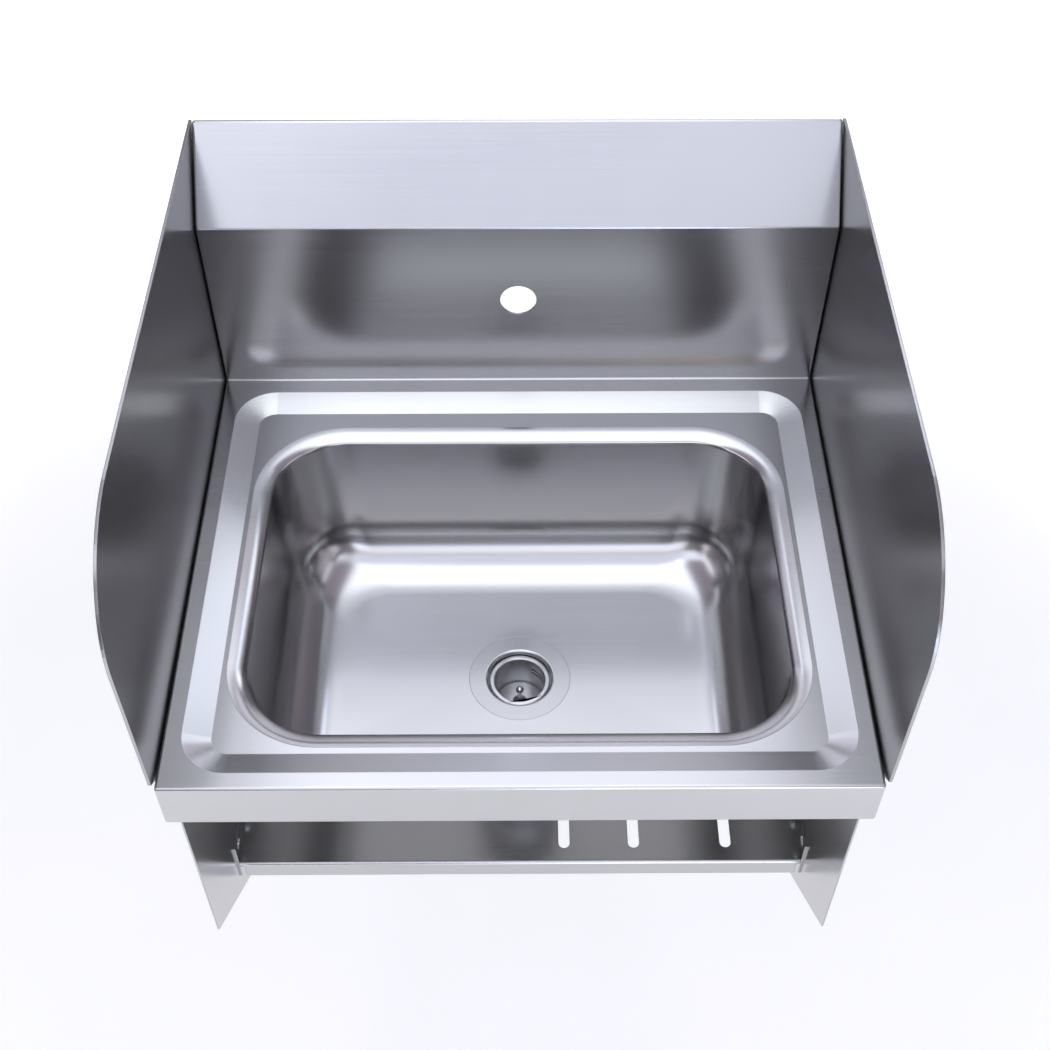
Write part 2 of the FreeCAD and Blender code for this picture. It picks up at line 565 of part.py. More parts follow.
# ---- drain fitting; each of these bodies stands on the drain's axis, floor at its Z = 0 --------

def setOnDrain(body, turn=None):
    setDown(body, y=BOWL_Y, z="0 - " + FLOOR, turn=turn)


SHANK_END = "(0 - shankLength)"
GASKET_TOP = "(0 - drainSeatDrop - sheetGauge)"
SEAT = "(0 - basketDrop - basketRimThick)"


def makeDrainBody():
    body = newBody("drain_body")
    turning = turned(body, "Turned", [
        ("drainBoreRadius", "0"), ("drainFlangeRadius", "0"),
        ("drainFlangeRadius", "0 - drainFlangeThick"), ("shankRadius", "0 - drainFlangeThick"),
        ("shankRadius", SHANK_END), ("outletRadius", SHANK_END),
        ("outletRadius", "0 - cupDepth"), ("cupRadius", "cupCone - cupDepth"),
        ("cupRadius", SEAT), ("drainBoreRadius", SEAT)])
    bore = value("drainBoreRadius")
    rounding(body, "Throat", turning, "drainThroatRadius - drainBoreRadius",
             lambda e: level(e, 0) and e.BoundBox.XMax < bore + 1)
    setOnDrain(body)


def makeRing(label, inside, outside, top, thick):
    body = newBody(label)
    base = "%s - %s" % (top, thick)
    turned(body, "Ring", [(inside, top), (outside, top), (outside, base), (inside, base)])
    setOnDrain(body)


def makeLocknut():
    body = newBody("drain_locknut")
    top = "(%s - gasketThick - frictionThick)" % GASKET_TOP
    thread = "shankRadius + threadGap"
    turned(body, "Ring", [(thread, top), ("locknutRadius", top),
                          ("locknutRadius", top + " - locknutThick / 2"),
                          ("shankRadius + locknutStep", top + " - locknutThick"),
                          (thread, top + " - locknutThick")])
    plan = newSketch(body, "NotchPlan", "XY_Plane", top)
    near0, far0 = "locknutRadius - lugDepth", "locknutRadius + lugDepth"
    polygon(plan, [(near0, "0 - lugWidth / 2"), (far0, "0 - lugWidth / 2"),
                   (far0, "lugWidth / 2"), (near0, "lugWidth / 2")])
    notch = swell(body, "Pocket", "Notch", plan, "locknutThick")
    around = body.newObject("PartDesign::PolarPattern", "Notches")
    around.Originals = [notch]
    around.Axis = (plan, ["N_Axis"])
    around.Angle = 360
    bind(around, "Occurrences", "locknutLugs")
    body.Tip = around
    doc.recompute()
    setOnDrain(body)


def makeTailpiece():
    body = newBody("tailpiece")
    top = "(%s - tailWasherThick)" % SHANK_END
    # drawn in a little under its flange, where the slip nut sits round it
    bore, neck = "tailRadius - tailGauge", "tailRadius - tailNeckStep"
    shoulder = top + " - tailFlangeThick - tailNeckLength"
    turned(body, "Tube", [(bore, top), ("tailFlangeRadius", top),
                          ("tailFlangeRadius", top + " - tailFlangeThick"),
                          (neck, top + " - tailFlangeThick"), (neck, shoulder),
                          ("tailRadius", shoulder), ("tailRadius", top + " - tailLength"),
                          (bore, top + " - tailLength")])
    setOnDrain(body)


def makeCouplingNut():
    body = newBody("coupling_nut")
    low = "(%s - tailWasherThick - tailFlangeThick - couplingWeb)" % SHANK_END
    plan = newSketch(body, "EightFlats", "XY_Plane", low)
    reach = "couplingAcross / 2 / cos(22.5 deg)"
    polygon(plan, [("%s * cos(%g deg)" % (reach, 22.5 + 45 * i),
                    "%s * sin(%g deg)" % (reach, 22.5 + 45 * i)) for i in range(8)])
    swell(body, "Pad", "Octagon", plan, "couplingHeight")
    thread = newSketch(body, "ThreadPlan", "XY_Plane", low + " + couplingWeb")
    circle(thread, "0", "0", "shankRadius + threadGap")
    swell(body, "Pocket", "Thread", thread, "couplingHeight", reverse=True)
    neck = newSketch(body, "NeckPlan", "XY_Plane", low)
    circle(neck, "0", "0", "tailRadius + tailGap")
    swell(body, "Pocket", "Neck", neck, "4 * couplingWeb", both=True)
    setOnDrain(body)


# ---- strainer basket -------------------------------------------------------------------------

BASKET_FLOOR = "(0 - basketDrop - basketDepth)"
PLATFORM = "(platformRise - basketDrop - basketDepth)"
SEAL_TOP = "(%s - basketGauge)" % BASKET_FLOOR


def makeBasket():
    # a spun cup with a raised platform, and two pairs of slits through its wall
    body = newBody("strainer_basket")
    inner, rimTop, hole = "(basketRadius - basketGauge)", "0 - basketDrop", "studRadius + threadGap"
    turned(body, "Spun", [
        (inner, rimTop), ("basketRimRadius", rimTop), ("basketRimRadius", SEAT),
        ("basketRadius", SEAT), ("basketRadius", SEAL_TOP),
        ("platformRadius - basketGauge", SEAL_TOP),
        ("platformRadius - basketGauge", PLATFORM + " - basketGauge"),
        (hole, PLATFORM + " - basketGauge"), (hole, PLATFORM),
        ("platformRadius", PLATFORM), ("platformRadius", BASKET_FLOOR), (inner, BASKET_FLOOR)])
    near0, far0 = "basketRadius - 2 * basketGauge", "basketRadius + basketGauge"
    cuts = []
    for i in range(2):
        top = "(%s - firstSlit - %d * slitPitch)" % (SEAT, i)
        cuts.append(turned(body, "Slit%d" % (i + 1), [
            (near0, top), (far0, top), (far0, top + " - slitHeight"),
            (near0, top + " - slitHeight")], kind="Groove", sweep="slitSweep"))
    across = body.newObject("PartDesign::PolarPattern", "OppositeSlits")
    across.Originals = cuts
    across.Axis = (body.getObject("SpunProfile"), ["V_Axis"])
    across.Angle = 360
    across.Occurrences = 2
    body.Tip = across
    doc.recompute()
    setOnDrain(body, turn="slitTurn")


def makePost():
    body = newBody("basket_post")
    foot = PLATFORM + " + footLip"
    turned(body, "Turned", [
        ("0", PLATFORM + " - studLength"), ("studRadius", PLATFORM + " - studLength"),
        ("studRadius", PLATFORM), ("footRadius", PLATFORM), ("footRadius", foot),
        ("footWaist", "%s + (footHeight + footLip) / 2" % PLATFORM),
        ("stemRadius", PLATFORM + " + footHeight"), ("stemRadius", PLATFORM + " + ballHeight"),
        ("0", PLATFORM + " + ballHeight")])
    ball = body.newObject("PartDesign::AdditiveSphere", "Ball")
    bind(ball, "Radius", "ballRadius")
    bind(ball, "Placement.Base.z", PLATFORM + " + ballHeight")
    doc.recompute()
    setOnDrain(body)


# ---- screws, spacers and nuts ----------------------------------------------------------------

def screw(radius, length, head, height):
    # a bevelled head standing on Z = 0 and its shaft below
    r, reach, top, bevel = value(radius), value(head), value(height), value("headBevel")
    low = -value(length)
    outline = Part.makePolygon([Vector(0, 0, low), Vector(r, 0, low), Vector(r, 0, 0),
                                Vector(reach, 0, 0), Vector(reach, 0, top - bevel),
                                Vector(reach - bevel, 0, top), Vector(0, 0, top),
                                Vector(0, 0, low)])
    return Part.Face(outline).revolve(Vector(0, 0, 0), Vector(0, 0, 1), 360)


def nut(across, height, bore):
    # a hexagon standing on Z = 0 with a plain hole
    reach, tall = value(across) / math.sqrt(3), value(height)
    corners = [Vector(reach * math.cos(math.pi * i / 3), reach * math.sin(math.pi * i / 3), 0)
               for i in range(7)]
    hexagon = Part.Face(Part.makePolygon(corners)).extrude(Vector(0, 0, tall))
    return hexagon.cut(Part.makeCylinder(value(bore), tall))


def spread(label, shape, places):
    # one solid for each place, each turned so that its own Z runs along the given direction
    copies = []
    for (x, y, z), direction in places:
        one = shape.copy()
        one.Placement = Placement(Vector(value(x), value(y), value(z)),
                                  Rotation(Vector(0, 0, 1), Vector(*direction)))
        copies.append(one)
    group = doc.addObject("Part::Feature", "Group_" + label)
    group.Label = label
    group.Shape = Part.makeCompound(copies)
    setDown(group)


def bothSides(spots, x, outward):
    # the same spots on the left and on the right, facing outwards or inwards
    return [(("%d * (%s)" % (side, x), y, z), (side * outward, 0, 0))
            for side in (-1, 1) for y, z in spots]


def makeFasteners():
    face = HALF + " + splashGap + splashGauge"
    grip = "splashGauge + splashGap + sheetGauge + largeNutHeight + threadEnd"
    spread("splash_screws", screw("splashScrewRadius", grip, "largeHeadRadius", "largeHeadHeight"),
           bothSides(splashScrews, face, 1))
    spread("splash_nuts", nut("largeNut", "largeNutHeight", "splashScrewRadius + threadGap"),
           bothSides(splashScrews, HALF + " - sheetGauge", -1))
    washer = Part.makeCylinder(value("spacerRadius"), value("splashGap"))
    washer = washer.cut(Part.makeCylinder(value("splashScrewRadius + threadGap"), value("splashGap")))
    spread("splash_spacers", washer, bothSides(splashScrews, HALF, 1))
    lift = "supportGauge + sheetGauge + largeNutHeight + threadEnd"
    spots = [("%d * (%s - supportScrewInset)" % (side, HALF), y)
             for side in (-1, 1) for y in supportScrews]
    spread("support_screws", screw("supportScrewRadius", lift, "largeHeadRadius",
                                   "largeHeadHeight"),
           [((x, y, "0 - apronHeight - supportGauge"), (0, 0, -1)) for x, y in spots])
    spread("support_nuts", nut("largeNut", "largeNutHeight", "supportScrewRadius + threadGap"),
           [((x, y, "sheetGauge - apronHeight"), (0, 0, 1)) for x, y in spots])
    hold = "shelfEndGauge + supportGauge + smallNutHeight + threadEnd"
    spread("shelf_screws", screw("shelfScrewRadius", hold, "smallHeadRadius",
                                 "smallHeadHeight"),
           bothSides(shelfScrews, SHELF_HALF, -1))
    spread("shelf_nuts", nut("smallNut", "smallNutHeight", "shelfScrewRadius + threadGap"),
           bothSides(shelfScrews, SUPPORT_IN + " + supportGauge", 1))
    spread("basket_retaining_nut", nut("smallNut", "smallNutHeight", "studRadius + threadGap"),
           [(("0", BOWL_Y, "0 - %s + %s - sealThick" % (FLOOR, SEAL_TOP)), (0, 0, -1))])


makeTop()
makeBowl()
makeSplash("left_side_splash", -1)
makeSplash("right_side_splash", 1)
makeSupport("left_support_bracket", -1)
makeSupport("right_support_bracket", 1)
makeShelf()
makeShelfEnd("left_shelf_end", -1)
makeShelfEnd("right_shelf_end", 1)
makeHanger()
makeDrainBody()
makeRing("drain_gasket", "shankRadius + gasketGap", "gasketRadius", GASKET_TOP, "gasketThick")
makeRing("friction_washer", "shankRadius + gasketGap", "gasketRadius",
         GASKET_TOP + " - gasketThick", "frictionThick")
makeLocknut()
makeRing("tailpiece_washer", "tailRadius - tailGauge", "tailWasherRadius", SHANK_END,
         "tailWasherThick")
makeTailpiece()
makeCouplingNut()
makeBasket()
makePost()
makeRing("basket_seal", "studRadius + threadGap", "sealRadius", SEAL_TOP, "sealThick")
makeFasteners()
doc.recompute()

# ---- checks and files ------------------------------------------------------------------------

troubled = [o.Name for o in doc.Objects if "Invalid" in o.State or "Error" in o.State]
if troubled:
    raise RuntimeError("features that failed: " + ", ".join(troubled))
pieces = [o for o in doc.Objects if o.TypeId in ("PartDesign::Body", "Part::Feature")]
for piece in pieces:
    if piece.Shape.isNull() or not piece.Shape.isValid() or not piece.Shape.Solids:
        raise RuntimeError("no sound shape for " + piece.Label)
os.makedirs("parts", exist_ok=True)
for piece in pieces:
    piece.Shape.exportStep(os.path.join("parts", piece.Label + ".step"))
print(len(pieces), "pieces written")
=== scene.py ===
import bpy
import math
from mathutils import Matrix, Vector


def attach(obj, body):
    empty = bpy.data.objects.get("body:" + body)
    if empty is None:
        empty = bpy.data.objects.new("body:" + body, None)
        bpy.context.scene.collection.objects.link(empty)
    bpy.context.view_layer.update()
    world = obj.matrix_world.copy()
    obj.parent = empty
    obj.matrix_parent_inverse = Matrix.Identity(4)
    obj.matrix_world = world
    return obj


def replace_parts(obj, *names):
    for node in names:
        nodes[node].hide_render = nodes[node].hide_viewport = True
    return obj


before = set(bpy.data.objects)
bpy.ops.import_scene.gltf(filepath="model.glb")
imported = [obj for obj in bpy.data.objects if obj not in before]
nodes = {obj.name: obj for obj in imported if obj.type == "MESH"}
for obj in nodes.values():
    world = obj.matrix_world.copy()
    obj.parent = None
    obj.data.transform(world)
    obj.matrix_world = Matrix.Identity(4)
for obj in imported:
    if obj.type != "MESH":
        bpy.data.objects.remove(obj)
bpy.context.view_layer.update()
print("frame loaded,", len(nodes), "nodes")


# shader maths: a socket that Python's operators work on
class Wire:
    def __init__(self, tree, socket):
        self.tree = tree
        self.socket = socket

    def node(self, kind, settings=None, values=None, out=0):  # settings are set before sockets
        made = self.tree.nodes.new("ShaderNode" + kind)
        for name, setting in (settings or {}).items():
            setattr(made, name, setting)
        for name, value in (values or {}).items():
            if isinstance(value, Wire):
                self.tree.links.new(value.socket, made.inputs[name])
            else:
                made.inputs[name].default_value = value
        return Wire(self.tree, made.outputs[out])

    def math(self, operation, *values):
        return self.node("Math", {"operation": operation}, dict(enumerate(values)))

    def output(self, which):  # another output of the same node
        return Wire(self.tree, self.socket.node.outputs[which])

    def __add__(self, other):
        return self.math("ADD", self, other)

    def __radd__(self, other):
        return self.math("ADD", other, self)

    def __sub__(self, other):
        return self.math("SUBTRACT", self, other)

    def __rsub__(self, other):
        return self.math("SUBTRACT", other, self)

    def __mul__(self, other):
        return self.math("MULTIPLY", self, other)

    def __rmul__(self, other):
        return self.math("MULTIPLY", other, self)

    def __abs__(self):
        return self.math("ABSOLUTE", self)

    def clamped(self, low=0.0, high=1.0):
        return self.node("Clamp", {}, {"Value": self, "Min": low, "Max": high})

    def eased(self, low, high):  # a smooth step from 0 at low to 1 at high
        return self.node("MapRange", {"interpolation_type": "SMOOTHSTEP"},
                         {"Value": self, "From Min": low, "From Max": high})

    def between(self, first, second):  # self is the share of the second colour; output 2 is the colour
        return self.node("Mix", {"data_type": "RGBA"},
                         {"Factor": self, "A": (*first, 1), "B": (*second, 1)}, 2)

    def noise(self, scale, detail):  # self is the place that the noise is read at
        return self.node("TexNoise", {}, {"Vector": self, "Scale": scale, "Detail": detail})

    def stretched(self, scale):
        return self.node("Mapping", {}, {"Vector": self, "Scale": scale})


def newMaterial(name):
    material = bpy.data.materials.new(name)
    material.use_nodes = True
    tree = material.node_tree
    tree.nodes.clear()
    start = Wire(tree, None)
    return material, start, start.node("TexCoord", out="Object")


def surface(start, shader):
    output = start.tree.nodes.new("ShaderNodeOutputMaterial")
    start.tree.links.new(shader.socket, output.inputs["Surface"])


def shadesOf(colour, spread):  # a little darker and a little lighter
    return [c * (1 - spread) for c in colour], [c * (1 + spread) for c in colour]


# brushed steel sheet and the drawn bowl; the grain runs along the axis with the small number
satinSheet = {"colour": (0.50, 0.50, 0.505), "roughness": 0.22, "lines": 0.06, "clouds": 0.04,
              "tone": 0.30, "depth": 0.00002, "strength": 0.10, "edge": 0.0006, "scuffs": 0.015,
              "edgeTint": 1.0}
# painted shade: the side splashes are the same satin sheet as the deck, painted darker and with a
# duller edge tint so that they look shaded
splashSheetPaintedDark = dict(satinSheet, colour=(0.40, 0.395, 0.40), roughness=0.24, edgeTint=0.72)
drawnBowl = {"colour": (0.50, 0.50, 0.505), "roughness": 0.195, "lines": 0.04, "clouds": 0.04,
             "tone": 0.22, "depth": 0.00002, "strength": 0.06, "edge": 0.0004, "scuffs": 0.01,
             "edgeTint": 1.0}
millSheet = {"colour": (0.42, 0.42, 0.43), "roughness": 0.34, "lines": 0.05, "clouds": 0.08,
             "tone": 0.50, "depth": 0.00003, "strength": 0.12, "edge": 0.0006, "scuffs": 0.06,
             "edgeTint": 1.0}
grainAlong = {"x": (8, 900, 900), "y": (900, 8, 900), "z": (900, 900, 8)}
scratchAlong = {"x": (14, 420, 420), "y": (420, 14, 420), "z": (420, 420, 14)}
sheetPattern = {"cloudScale": 16.0, "marks": (0.64, 0.74), "patches": (0.45, 0.60), "spread": 0.12}
bevelSamples = 4


def brushedSteel(name, look, grain):
    material, start, place = newMaterial(name)
    lines = place.stretched(grainAlong[grain]).noise(1.0, 3.0)
    clouds = place.noise(sheetPattern["cloudScale"], 4.0)
    scratches = place.stretched(scratchAlong[grain]).noise(1.0, 1.0)
    # faint scuffs, only here and there
    scuffs = scratches.eased(*sheetPattern["marks"]) * clouds.eased(*sheetPattern["patches"])
    rough = (look["roughness"] + (lines - 0.5) * look["lines"] + (clouds - 0.5) * look["clouds"]
             + scuffs * look["scuffs"])
    tone = (clouds + lines - 1.0) * look["tone"] + 0.5
    shade = tone.clamped().between(*shadesOf(look["colour"], sheetPattern["spread"]))
    edges = start.node("Bevel", {"samples": bevelSamples}, {"Radius": look["edge"]})
    bump = start.node("Bump", {}, {"Height": lines, "Strength": look["strength"],
                                   "Distance": look["depth"], "Normal": edges})
    steel = start.node("BsdfPrincipled", {}, {"Base Color": shade, "Metallic": 1.0,
                                              "Roughness": rough.clamped(), "Normal": bump,
                                              "Specular Tint": (*[look["edgeTint"]] * 3, 1)})
    surface(start, steel)
    return material


# turned, polished and plated metal
satinTurned = {"colour": (0.47, 0.47, 0.475), "roughness": 0.21, "clouds": 0.06, "turns": 1400,
               "depth": 0.00002, "edge": 0.0002}
drawnBasket = {"colour": (0.54, 0.54, 0.55), "roughness": 0.33, "clouds": 0.08, "turns": 500,
               "depth": 0.00002, "edge": 0.0004}
polished = {"colour": (0.60, 0.60, 0.61), "roughness": 0.12, "clouds": 0.06, "turns": 900,
            "depth": 0.00001, "edge": 0.0002}
plated = {"colour": (0.62, 0.63, 0.65), "roughness": 0.07, "clouds": 0.05, "turns": 300,
          "depth": 0.000004, "edge": 0.0003}
ringPattern = {"cloudScale": 40.0, "roughness": 0.04, "strength": 0.08, "spread": 0.05, "least": 0.02}


def turnedMetal(name, look, centre):  # fine rings round the drain's axis
    material, start, place = newMaterial(name)
    moved = start.node("Mapping", {}, {"Vector": place, "Location": (-centre[0], -centre[1], 0)})
    across = start.node("SeparateXYZ", {}, {"Vector": moved})
    along, height = across.output(1), across.output(2)
    radius = start.math("SQRT", across * across + along * along)
    rings = start.node("TexNoise", {"noise_dimensions": "1D"},
                       {"W": (radius + height) * look["turns"], "Scale": 1.0, "Detail": 2.0})
    clouds = place.noise(ringPattern["cloudScale"], 3.0)
    rough = (look["roughness"] + (clouds - 0.5) * look["clouds"]
             + (rings - 0.5) * ringPattern["roughness"])
    shade = clouds.between(*shadesOf(look["colour"], ringPattern["spread"]))
    edges = start.node("Bevel", {"samples": bevelSamples}, {"Radius": look["edge"]})
    bump = start.node("Bump", {}, {"Height": rings, "Strength": ringPattern["strength"],
                                   "Distance": look["depth"], "Normal": edges})
    metal = start.node("BsdfPrincipled", {}, {"Base Color": shade, "Metallic": 1.0, "Normal": bump,
                                              "Roughness": rough.clamped(ringPattern["least"])})
    surface(start, metal)
    return material


# rubber, nylon and fibre, and the cast locknut
rubber = {"dark": (0.012, 0.012, 0.013), "light": (0.03, 0.03, 0.032), "metallic": 0.0,
          "roughness": 0.62, "scale": 500, "depth": 0.00005}
nylon = {"dark": (0.010, 0.010, 0.011), "light": (0.02, 0.02, 0.021), "metallic": 0.0,
         "roughness": 0.45, "scale": 300, "depth": 0.00002}
fibre = {"dark": (0.16, 0.07, 0.035), "light": (0.30, 0.15, 0.08), "metallic": 0.0,
         "roughness": 0.75, "scale": 700, "depth": 0.0001}
castZinc = {"dark": (0.42, 0.43, 0.45), "light": (0.56, 0.57, 0.59), "metallic": 1.0,
            "roughness": 0.42, "scale": 450, "depth": 0.00012}
grainPattern = {"coarser": 12, "contrast": (0.35, 0.65), "roughness": 0.2, "strength": 0.4}


def grainyStuff(name, look):
    material, start, place = newMaterial(name)
    grains = place.noise(look["scale"], 4.0)
    patches = place.noise(look["scale"] / grainPattern["coarser"], 3.0)
    share = (grains * 0.5 + patches * 0.5).eased(*grainPattern["contrast"])
    rough = look["roughness"] + (patches - 0.5) * grainPattern["roughness"]
    bump = start.node("Bump", {}, {"Height": grains, "Strength": grainPattern["strength"],
                                   "Distance": look["depth"]})
    stuff = start.node("BsdfPrincipled", {}, {"Base Color": share.between(look["dark"], look["light"]),
                                              "Metallic": look["metallic"],
                                              "Roughness": rough.clamped(), "Normal": bump})
    surface(start, stuff)
    return material


drainCentre = (0.0, -0.2286)
sheetAlongX = brushedSteel("satinSheetAcross", satinSheet, "x")
sheetAlongY = brushedSteel("satinSheetDeep", satinSheet, "y")
# painted shade: a darker copy of the satin sheet, for the side splashes
splashSteelPaintedDark = brushedSteel("satinSplashSheetPaintedShade", splashSheetPaintedDark, "y")
sheetAlongZ = brushedSteel("satinSheetUpright", satinSheet, "z")
bowlSteel = brushedSteel("drawnBowlSteel", drawnBowl, "x")
hangerSteel = brushedSteel("millHangerSteel", millSheet, "x")
brightSteel = turnedMetal("brightScrewSteel", polished, (0, 0))
drainSteel = turnedMetal("turnedDrainSteel", satinTurned, drainCentre)
basketSteel = turnedMetal("drawnBasketSteel", drawnBasket, drainCentre)
postSteel = turnedMetal("polishedPostSteel", polished, drainCentre)
tubeChrome = turnedMetal("platedTube", plated, drainCentre)
zinc = grainyStuff("castZinc", castZinc)
blackRubber = grainyStuff("blackRubber", rubber)
blackNylon = grainyStuff("blackNylon", nylon)
brownFibre = grainyStuff("brownFibre", fibre)
finishes = {  # by node; what isn't named here is bright steel
    "deck_and_backsplash": sheetAlongX, "bowl": bowlSteel,
    "left_side_splash": splashSteelPaintedDark, "right_side_splash": splashSteelPaintedDark,
    "left_support_bracket": sheetAlongZ, "right_support_bracket": sheetAlongZ,
    "valve_shelf": sheetAlongX, "left_shelf_end": sheetAlongY, "right_shelf_end": sheetAlongY,
    "wall_hanger": hangerSteel, "splash_spacers": blackNylon, "drain_body": drainSteel,
    "drain_gasket": blackRubber, "friction_washer": brownFibre, "drain_locknut": zinc,
    "tailpiece": tubeChrome, "tailpiece_washer": blackRubber, "coupling_nut": tubeChrome,
    "strainer_basket": basketSteel, "basket_post": postSteel, "basket_seal": blackRubber,
}


def dressed(piece, material):
    piece.data.materials.clear()
    piece.data.materials.append(material)
    for face in piece.data.polygons:
        face.material_index = 0


for name, node in nodes.items():
    dressed(node, finishes.get(name, brightSteel))
print("materials made")

# new pieces are made by hand tools, so nothing may stay selected before each step
merging = 1e-6  # points closer than this are one
sameLevel = 1e-5


def nothingSelected():
    if bpy.context.object and bpy.context.object.mode != "OBJECT":
        bpy.ops.object.mode_set(mode="OBJECT")
    bpy.ops.object.select_all(action="DESELECT")


def selectOnly(piece):
    nothingSelected()
    bpy.context.view_layer.objects.active = piece
    piece.select_set(True)


def settled():  # the picked object's place, turn and size go into its mesh
    bpy.ops.object.transform_apply(location=True, rotation=True, scale=True)
    return bpy.context.object


def editAll(piece, kind="VERT"):  # into edit mode with the whole mesh selected
    selectOnly(piece)
    bpy.ops.object.mode_set(mode="EDIT")
    bpy.ops.mesh.select_mode(type=kind)
    bpy.ops.mesh.select_all(action="SELECT")


def pickEdges(piece, test):  # into edit mode with the edges selected whose ends both pass the test
    editAll(piece, "EDGE")
    bpy.ops.mesh.select_all(action="DESELECT")
    bpy.ops.object.mode_set(mode="OBJECT")
    points = piece.data.vertices
    for edge in piece.data.edges:
        edge.select = all(test(points[i].co) for i in edge.vertices)
    bpy.ops.object.mode_set(mode="EDIT")


def rimBevelled(piece, level, width, segments):  # rounds the edge loops that lie at a level
    pickEdges(piece, lambda point: abs(point.z - level) < merging)
    bpy.ops.mesh.bevel(offset=width, segments=segments, affect="EDGES")
    bpy.ops.object.mode_set(mode="OBJECT")


def applied(piece, kind, **settings):  # adds a modifier, sets it and applies it
    modifier = piece.modifiers.new(kind.lower(), kind)
    for name, value in settings.items():
        setattr(modifier, name, value)
    selectOnly(piece)
    bpy.ops.object.modifier_apply(modifier=modifier.name)


def cutBy(piece, tool, operation="DIFFERENCE"):
    applied(piece, "BOOLEAN", operation=operation, object=tool, solver="EXACT")
    bpy.data.objects.remove(tool)


def cylinder(radius, low, high, sides=48, turn=0.0):
    nothingSelected()
    bpy.ops.mesh.primitive_cylinder_add(vertices=sides, radius=radius, depth=high - low,
                                        location=(0, 0, (low + high) / 2), rotation=(0, 0, turn))
    return settled()


def coil(radius, low, turns, pitch, rise, steps):  # a thread: a three-sided bar wound round Z
    nothingSelected()
    bpy.ops.mesh.primitive_circle_add(vertices=3, radius=rise, fill_type="NGON",
                                      location=(radius, 0, low),
                                      rotation=(math.pi / 2, math.pi / 2, 0))
    bar = settled()
    applied(bar, "SCREW", axis="Z", angle=2 * math.pi, screw_offset=pitch, iterations=turns,
            steps=steps, render_steps=steps)
    editAll(bar, "EDGE")
    bpy.ops.mesh.fill_holes(sides=3)
    bpy.ops.mesh.select_all(action="SELECT")
    bpy.ops.mesh.normals_make_consistent(inside=False)
    bpy.ops.object.mode_set(mode="OBJECT")
    return bar


def joined(name, pieces):
    nothingSelected()
    for piece in pieces:
        piece.select_set(True)
    bpy.context.view_layer.objects.active = pieces[0]
    bpy.ops.object.join()
    piece = bpy.context.object
    piece.name = name
    return piece


def copiesAt(name, model, places):  # places: where, and the direction that the model's Z takes
    copies = []
    for where, direction in places:
        copy = model.copy()
        copy.data = model.data.copy()
        bpy.context.scene.collection.objects.link(copy)
        turned = Vector(direction).to_track_quat("Z", "Y").to_matrix().to_4x4()
        copy.matrix_world = Matrix.Translation(where) @ turned
        selectOnly(copy)
        copies.append(settled())
    bpy.data.objects.remove(model)
    return joined(name, copies)


def mergedCopy(name, title):  # a CAD node's mesh as a piece of its own, its loose triangles joined
    copy = nodes[name].copy()
    copy.data = nodes[name].data.copy()
    copy.parent = None
    bpy.context.scene.collection.objects.link(copy)
    copy.name = title
    editAll(copy)
    bpy.ops.mesh.remove_doubles(threshold=merging)
    bpy.ops.object.mode_set(mode="OBJECT")
    return copy


def finished(piece, body, material, angle=35):
    selectOnly(piece)
    bpy.ops.object.shade_smooth_by_angle(angle=math.radians(angle))
    dressed(piece, material)
    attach(piece, body)
    return piece


# screws with a domed head, a cross recess and a cut thread; nuts with bevelled corners.
# sites: where a screw and its nut go on the right side, and headTo is where the head looks
splashFastener = {"head": 0.00475, "headHeight": 0.0024, "shank": 0.0025, "length": 0.0087,
                  "across": 0.008, "nutHeight": 0.004, "headTo": (1, 0, 0),
                  "sites": [((0.2184, y, z), (0.2147, y, z)) for y, z in
                            ((-0.350, -0.1683), (-0.090, -0.1683), (-0.024, -0.0403))]}
supportFastener = {"head": 0.00475, "headHeight": 0.0024, "shank": 0.0025, "length": 0.0074,
                   "across": 0.008, "nutHeight": 0.004, "headTo": (0, 0, -1),
                   "sites": [((0.1969, y, -0.1853), (0.1969, y, -0.1829)) for y in (-0.348, -0.068)]}
shelfFastener = {"head": 0.0038, "headHeight": 0.0020, "shank": 0.0020, "length": 0.0069,
                 "across": 0.007, "nutHeight": 0.0032, "headTo": (-1, 0, 0),
                 "sites": [((0.2050, y, -0.3563), (0.2077, y, -0.3563)) for y in (-0.2895, -0.2735)]}
# shares of the head, the shank or the nut
screwShape = {"dome": 0.62, "domeSteps": 6, "bladeWide": 0.2, "bladeDeep": 1.1, "core": 0.86,
              "point": 0.2, "pitch": 0.32, "rise": 0.14, "sides": 24, "intoHead": 0.0001}
nutShape = {"corner": 0.09, "cornerSteps": 3, "outside": 0.00002, "bore": 0.0001, "boreEnds": 0.001,
            "sides": 32}


def screwModel(look):  # the head stands on Z = 0 and the shank hangs below it
    head = cylinder(look["head"], 0.0, look["headHeight"])
    rimBevelled(head, look["headHeight"], look["headHeight"] * screwShape["dome"],
                screwShape["domeSteps"])
    for turn in (0.0, math.pi / 2):
        nothingSelected()
        bpy.ops.mesh.primitive_cube_add(size=1, location=(0, 0, look["headHeight"]),
                                        rotation=(0, 0, turn))
        bpy.context.object.scale = (look["head"], look["head"] * screwShape["bladeWide"],
                                    look["headHeight"] * screwShape["bladeDeep"])
        cutBy(head, settled())
    core, pitch = look["shank"] * screwShape["core"], look["shank"] * screwShape["pitch"]
    shank = cylinder(core, -look["length"], screwShape["intoHead"], screwShape["sides"])
    rimBevelled(shank, -look["length"], look["shank"] * screwShape["point"], 1)
    turns = int((look["length"] - 2 * pitch) / pitch)
    thread = coil(core, -look["length"] + pitch, turns, pitch, look["shank"] * screwShape["rise"],
                  screwShape["sides"])
    return joined("screwModel", [head, shank, thread])


